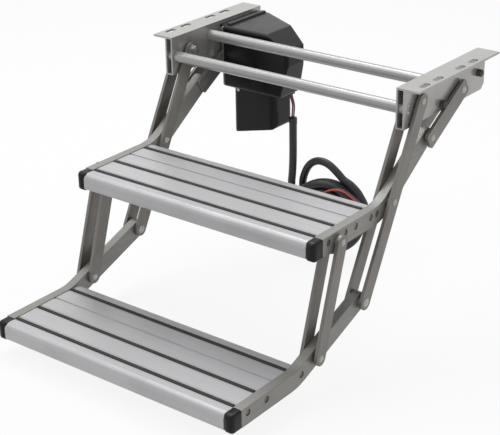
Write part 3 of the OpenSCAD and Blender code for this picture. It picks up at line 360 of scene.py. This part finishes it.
# Lines of an extrusion are about 0.3 mm apart; they are drawn near 2 mm so that they show
finishes = {
    # Anodised aluminium extrusion: pale, silky, with faint lines along the deck
    "anodised_aluminium": worked_metal(
        "anodised_aluminium_extrusion", "#BBBABC", "#AFAEB0", metallic=0.35, roughness=0.42,
        grain_mm=(220, 2.2, 2.2), bump=0.10),
    # Anodised aluminium rail: the deck's metal, darker in colour as painted shade for its sides, which face
    # away from the light; its lines run along the rail
    "rail_aluminium": worked_metal(
        "anodised_aluminium_rail_painted_shade", "#93928E", "#868581", metallic=0.3, roughness=0.4,
        grain_mm=(2.5, 160, 2.5), bump=0.10, edge_mm=2.0),
    # Rolled sheet of the brackets: brighter, with a cloudy mirror
    "bracket_steel": worked_metal(
        "rolled_aluminium_sheet", "#B0AFAC", "#A8A7A4", metallic=0.45, roughness=0.27,
        grain_mm=(60, 60, 60), bump=0.02),
    # Drawn aluminium tube: satin, lines along the tube
    "tube_aluminium": worked_metal(
        "drawn_aluminium_tube", "#A0A0A0", "#999999", metallic=0.4, roughness=0.27,
        grain_mm=(200, 2.5, 2.5), bump=0.01, edge_mm=2.0),
    # Flat bar with a drawn, warm grey skin; its darker tone is partly the bar's own and partly painted shade
    # for its outer faces, which face away from the light
    "link_steel": worked_metal(
        "drawn_flat_bar_with_painted_shade", "#85817D", "#76726D", metallic=0.3, roughness=0.34,
        grain_mm=(2.5, 90, 90), bump=0.05, edge_mm=1.2),
    # Bright zinc on steel fasteners
    "zinc_steel": worked_metal(
        "bright_zinc_plating", "#AEAEAA", "#9C9B96", metallic=0.6, roughness=0.26,
        grain_mm=(4, 4, 4), bump=0.05),
    # Die cast aluminium gearbox: dull and pebbled
    "gearbox_aluminium": worked_metal(
        "die_cast_aluminium", "#9C9C9C", "#868686", metallic=0.7, roughness=0.5,
        grain_mm=(1.5, 1.5, 1.5), bump=0.25),
    # Black passivated motor can: dark, half dull
    "motor_steel": worked_metal(
        "black_passivated_steel", "#3A3A3B", "#2C2C2D", metallic=0.6, roughness=0.42,
        grain_mm=(3, 3, 3), bump=0.08),
    # Crimped brass: yellow and bright
    "terminal_brass": worked_metal(
        "crimped_brass", "#C9A760", "#AB8C4A", metallic=0.95, roughness=0.3,
        grain_mm=(3, 3, 3), bump=0.08),
    # Acetal bushes: black and half dull
    "bush_plastic": moulded("acetal", "#2B2B2B", "#353535", roughness=0.45, grain_mm=0.8, bump=0.08),
    # Polypropylene end caps: black, moulded smooth, with soft edges
    "cap_plastic": moulded(
        "moulded_polypropylene", "#0E0E10", "#131315", roughness=0.24,
        grain_mm=1.2, bump=0.04, ior=1.3, edge_mm=3.5),
    # ABS covers: black, fine-grained, with soft edges
    "cover_plastic": moulded(
        "grained_abs", "#141415", "#1B1B1C", roughness=0.25,
        grain_mm=1.0, bump=0.05, ior=1.27, edge_mm=4.0),
    # Extruded rubber grip strip: black and dull
    "grip_rubber": moulded(
        "extruded_rubber", "#1D1C1B", "#262423", roughness=0.75, grain_mm=1.2, bump=0.25),
    # Moulded rubber stops: brown-black and dull
    "stop_rubber": moulded(
        "moulded_stop_rubber", "#453F3A", "#50483F", roughness=0.65, grain_mm=1.2, bump=0.25),
    # Solder mask on a circuit board
    "circuit_board": moulded("solder_mask", "#1F4A2A", "#2A5A35", roughness=0.35, grain_mm=2.0, bump=0.1),
    # Black PVC sheath
    "cable_black": moulded("pvc_sheath", "#232324", "#2C2C2C", roughness=0.45, grain_mm=1.5, bump=0.12),
    # Red-brown PVC insulation
    "wire_red": moulded("red_pvc_insulation", "#8A2F26", "#93392F", roughness=0.4, grain_mm=1.5, bump=0.06),
}
# The other wires differ from the red one in colour alone
wire_orange = moulded("orange_pvc_insulation", "#C8502A", "#D05A33", roughness=0.4, grain_mm=1.5, bump=0.06)
wire_violet = moulded("violet_pvc_insulation", "#5B4A78", "#665584", roughness=0.4, grain_mm=1.5, bump=0.06)
# Deck screws have a duller, yellowed zinc than the pins
dull_zinc = worked_metal(
    "yellowed_zinc_plating", "#7E7670", "#6A615A", metallic=0.6, roughness=0.34,
    grain_mm=(4, 4, 4), bump=0.05)

for name, obj in nodes.items():
    finish = dull_zinc if name.endswith("deck_screws") else finishes[slot_of[name]]
    obj.data.materials.clear()
    obj.data.materials.append(finish)


def finish_as(obj, slot, body, stands_for=(), material=None):
    """Gives a new piece its finish, its body and the solids that it stands for."""
    obj.data.materials.append(material or finishes[slot])
    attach(obj, body)
    if stands_for:
        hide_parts(*stands_for)


# Lead


def coil_points():
    """The hanging coil: r = inner + step * |turn - half|.

    It winds in through one layer and out through the next. The layer eases from -1/2 to 1/2
    over half a turn at the middle, along the coil's own normal.
    """
    half = COIL_TURNS / 2
    inner = COIL_R - half * COIL_STEP
    turn = np.linspace(0, COIL_TURNS, math.ceil(COIL_TURNS * COIL_POINTS_PER_TURN) + 1)
    radius = inner + COIL_STEP * np.abs(turn - half)
    angle = math.pi + 2 * math.pi * turn
    u = np.clip(2 * (turn - half) + 0.5, 0, 1)
    layer = u * u * (3 - 2 * u) - 0.5
    east = np.array([math.cos(COIL_TWIST), math.sin(COIL_TWIST), 0.0])
    normal = np.array([math.sin(COIL_TWIST), -math.cos(COIL_TWIST), 0.0])
    up = np.array([0.0, 0.0, 1.0])
    ring = np.cos(angle)[:, None] * east + np.sin(angle)[:, None] * up
    return COIL_AT + radius[:, None] * ring + (layer * COIL_STEP)[:, None] * normal


def lead_path():
    """Sheath, coil and tail as one line, with a straight diameter at each end of the coil."""
    wound = coil_points()
    way_in = wound[1] - wound[0]
    way_in *= LEAD_D / np.linalg.norm(way_in)
    way_out = wound[-1] - wound[-2]
    way_out *= LEAD_D / np.linalg.norm(way_out)
    before = [wound[0] - 2 * way_in, wound[0] - way_in]
    after = [wound[-1] + way_out, wound[-1] + 2 * way_out]
    return smooth_path(np.vstack([SHEATH_ROUTE, before, wound, after, TAIL_ROUTE]), LEAD_SPACING)


# A shrunk collar closes the sheath round the two motor wires
collar = turned("sheath_collar", WIRE_ROUTE[-1] + GRIP, COLLAR_PROFILE)
finish_as(collar, "cable_black", "frame")
motor_wires = (
    ("motor_wire_red", -WIRE_APART, finishes["wire_red"], ["motor_wires"]),
    ("motor_wire_violet", WIRE_APART, wire_violet, []),
)
for name, aside, shade, stands_for in motor_wires:
    line = smooth_path(np.array(WIRE_ROUTE) + np.array([aside, 0.0, 0.0]), WIRE_SPACING)
    wire = tube(name, line, WIRE_D, WIRE_SIDES, WIRE_SIDE_WAY)
    finish_as(wire, "wire_red", "frame", stands_for, shade)

lead_line = lead_path()
lead = tube("lead", lead_line, LEAD_D, LEAD_SIDES, LEAD_SIDE_WAY)
finish_as(lead, "cable_black", "frame", ["lead_sheath", "lead_coil", "lead_tail"])
# Moulded connector with a strain relief and finger ribs, hanging from the end of the tail
plug = turned("lead_plug", TAIL_ROUTE[-1], PLUG_PROFILE)
finish_as(plug, "cable_black", "frame", ["lead_connector"])
# Shrunk boot where the pigtail wires branch off the tail
boot = turned("tail_boot", PIGTAIL_ROUTE[0] + PIGTAIL_BESIDE / 2, BOOT_PROFILE)
finish_as(boot, "cable_black", "frame", ["tail_splice"])

pigtails = (
    ("pigtail_violet", 0, wire_violet, ["pigtail_wires"], ["wire_terminals"]),
    ("pigtail_orange", 1, wire_orange, [], []),
)
for name, place, shade, wires, terminals in pigtails:
    line = smooth_path(np.array(PIGTAIL_ROUTE) + place * PIGTAIL_BESIDE, LEAD_SPACING)
    wire = tube(name, line, WIRE_D, WIRE_SIDES, PIGTAIL_SIDE_WAY)
    finish_as(wire, "wire_red", "frame", wires, shade)
    crimp = turned(f"{name}_terminal", line[-1] + GRIP, CRIMP_PROFILE, CRIMP_SIDES)
    finish_as(crimp, "terminal_brass", "frame", terminals)

# Grip strips


def strip_profile(place):
    """Cross-section of a grip strip: a flat foot in its channel, and low ribs on top as a cosine wave."""
    across = np.linspace(-0.5, 0.5, STRIP_POINTS)
    ribs = STRIP_PROUD - RIB_DEEP * (0.5 - 0.5 * np.cos(2 * math.pi * STRIP_RIBS * (across + 0.5)))
    top = np.column_stack([place + STRIP_WIDTH * across, ribs])
    foot = np.array([[place + STRIP_WIDTH / 2, -STRIP_DEEP], [place - STRIP_WIDTH / 2, -STRIP_DEEP]])
    return np.vstack([top, foot])


for label, home in TREADS:
    for number, place in enumerate(STRIP_PLACES, 1):
        outline = strip_profile(place) + home[1:]
        name = f"{label}_grip_strip_{number}"
        strip = carried_profile(name, outline, -STRIP_LENGTH / 2, STRIP_LENGTH / 2)
        finish_as(strip, "grip_rubber", f"{label}_tread", [f"{label}_grip_strips"] if number == 1 else [])

# End caps


def moulded_cap(name, side, home):
    """A pillow-shaped cap: a rounded rectangle carried along Y and drawn in towards the front.

    At the depth t behind the front, up to the front radius r, the section is drawn in as a quarter circle by
    d = r - sqrt(r^2 - (r - t)^2). Its corners are arcs of the side radius less half of d.
    """
    turn = np.linspace(0.0, 0.5 * math.pi, CAP_RINGS)
    depth = np.concatenate([CAP_FRONT_ROUND * (1 - np.cos(turn)), [CAP_BACK - CAP_FRONT]])
    drawn_in = np.concatenate([CAP_FRONT_ROUND * (1 - np.sin(turn)), [0.0]])[:, None]
    corner = np.maximum(CAP_SIDE_ROUND - 0.5 * drawn_in, CAP_LEAST_ROUND)
    drawn_in = np.minimum(drawn_in, CAP_HALF_W - CAP_LEAST_HALF)
    quarter = np.linspace(0.0, 0.5 * math.pi, CAP_CORNER_POINTS)
    angle = np.concatenate([quarter + k * 0.5 * math.pi for k in range(4)])
    sign_x = np.repeat([1.0, -1.0, -1.0, 1.0], CAP_CORNER_POINTS)
    sign_z = np.repeat([1.0, 1.0, -1.0, -1.0], CAP_CORNER_POINTS)
    x = sign_x * (CAP_HALF_W - drawn_in - corner) + corner * np.cos(angle)
    z = sign_z * (CAP_HALF_H - drawn_in - corner) + corner * np.sin(angle)
    y = np.broadcast_to((CAP_FRONT + depth)[:, None], x.shape)
    points = np.stack([side * CAP_MIDDLE_X + x, y, CAP_MIDDLE_Z + z], axis=-1) + home
    obj = closed_rings(name, points, len(angle))
    obj.data.set_sharp_from_angle(angle=CAP_SHARP)
    return obj


for label, home in TREADS:
    for side, hand in ((-1, "left"), (1, "right")):
        cap = moulded_cap(f"{label}_{hand}_end_cap", side, home)
        finish_as(cap, "cap_plastic", f"{label}_tread", [f"{label}_rail_caps"] if side < 0 else [])

# Stage: pale floor, soft light, camera

FLOOR_BELOW = 0.0005
FLOOR_HALF = 12.0
FLOOR_WHITE = 0.88
# Strength of the white surroundings as a light
STUDIO_LIGHT = 0.48
# Lamps: place, edge in metres, power in watts; both look at the part's middle
MIDDLE = (0.0, -0.15, -0.15)
LAMPS = {
    "key_softbox": ((-1.0, -0.8, 2.2), 2.0, 20.0),
    "top_softbox": ((-0.6, 0.5, 1.6), 1.1, 19.0),
}


def seen_share(tree):
    """1 for what the camera, a mirror or a clear piece sees, and 0 for light that falls on the part."""
    ray = add(tree, "ShaderNodeLightPath", {}).outputs
    mirrored = add(tree, "ShaderNodeMath", {0: ray["Is Camera Ray"], 1: ray["Is Glossy Ray"]},
                   operation="MAXIMUM")
    seen = add(tree, "ShaderNodeMath", {0: mirrored.outputs["Value"], 1: ray["Is Transmission Ray"]},
               operation="MAXIMUM")
    return seen.outputs["Value"]


floor_z = cad_box[0][2] - FLOOR_BELOW
corners = [(x * FLOOR_HALF, y * FLOOR_HALF, floor_z) for x, y in ((-1, -1), (1, -1), (1, 1), (-1, 1))]
floor = put_mesh("floor", np.array(corners), [(0, 1, 2, 3)], smooth=False)
# Matt pale floor that is almost white to the eye, so that it keeps a faint shadow
floor_mat = bpy.data.materials.new("pale_studio_floor")
tree = emptied(floor_mat)
whiten = add(tree, "ShaderNodeMath", {0: seen_share(tree), 1: FLOOR_WHITE}, operation="MULTIPLY")
matt = add(tree, "ShaderNodeBsdfDiffuse", {"Color": linear("#F2F2F2")})
glow = add(tree, "ShaderNodeEmission", {"Color": linear("#FFFFFF"), "Strength": 1.0})
paper = add(tree, "ShaderNodeMixShader", {
    0: whiten.outputs["Value"], 1: matt.outputs["BSDF"], 2: glow.outputs["Emission"]})
add(tree, "ShaderNodeOutputMaterial", {"Surface": paper.outputs["Shader"]})
floor.data.materials.append(floor_mat)

world = bpy.data.worlds.new("studio")
bpy.context.scene.world = world
tree = emptied(world)
level = mapped(tree, seen_share(tree), (0.0, 1.0), STUDIO_LIGHT, 1.0)
sky = add(tree, "ShaderNodeBackground", {"Color": linear("#FFFFFF"), "Strength": level})
add(tree, "ShaderNodeOutputWorld", {"Surface": sky.outputs["Background"]})

for name, (at, edge, power) in LAMPS.items():
    lamp = bpy.data.lights.new(name, "AREA")
    lamp.size = edge
    lamp.energy = power
    softbox = bpy.data.objects.new(name, lamp)
    softbox.location = at
    softbox.rotation_euler = (Vector(MIDDLE) - Vector(at)).to_track_quat("-Z", "Y").to_euler()
    bpy.context.scene.collection.objects.link(softbox)

az, el, roll = CAMERA_AZIMUTH, CAMERA_ELEVATION, CAMERA_ROLL
back = Vector((math.sin(az) * math.cos(el), -math.cos(az) * math.cos(el), math.sin(el)))
level_right = Vector((math.cos(az), math.sin(az), 0.0))
level_up = back.cross(level_right)
right = math.cos(roll) * level_right + math.sin(roll) * level_up
up = -math.sin(roll) * level_right + math.cos(roll) * level_up
lens = bpy.data.cameras.new("photo_camera")
lens.sensor_width = SENSOR_MM
lens.lens = FOCAL_PIXELS * SENSOR_MM / IMAGE_WIDTH
camera = bpy.data.objects.new("photo_camera", lens)
camera.matrix_world = Matrix.Translation(CAMERA_AT) @ Matrix((right, up, back)).transposed().to_4x4()
bpy.context.scene.collection.objects.link(camera)
bpy.context.scene.camera = camera
bpy.context.scene.view_settings.view_transform = "Standard"
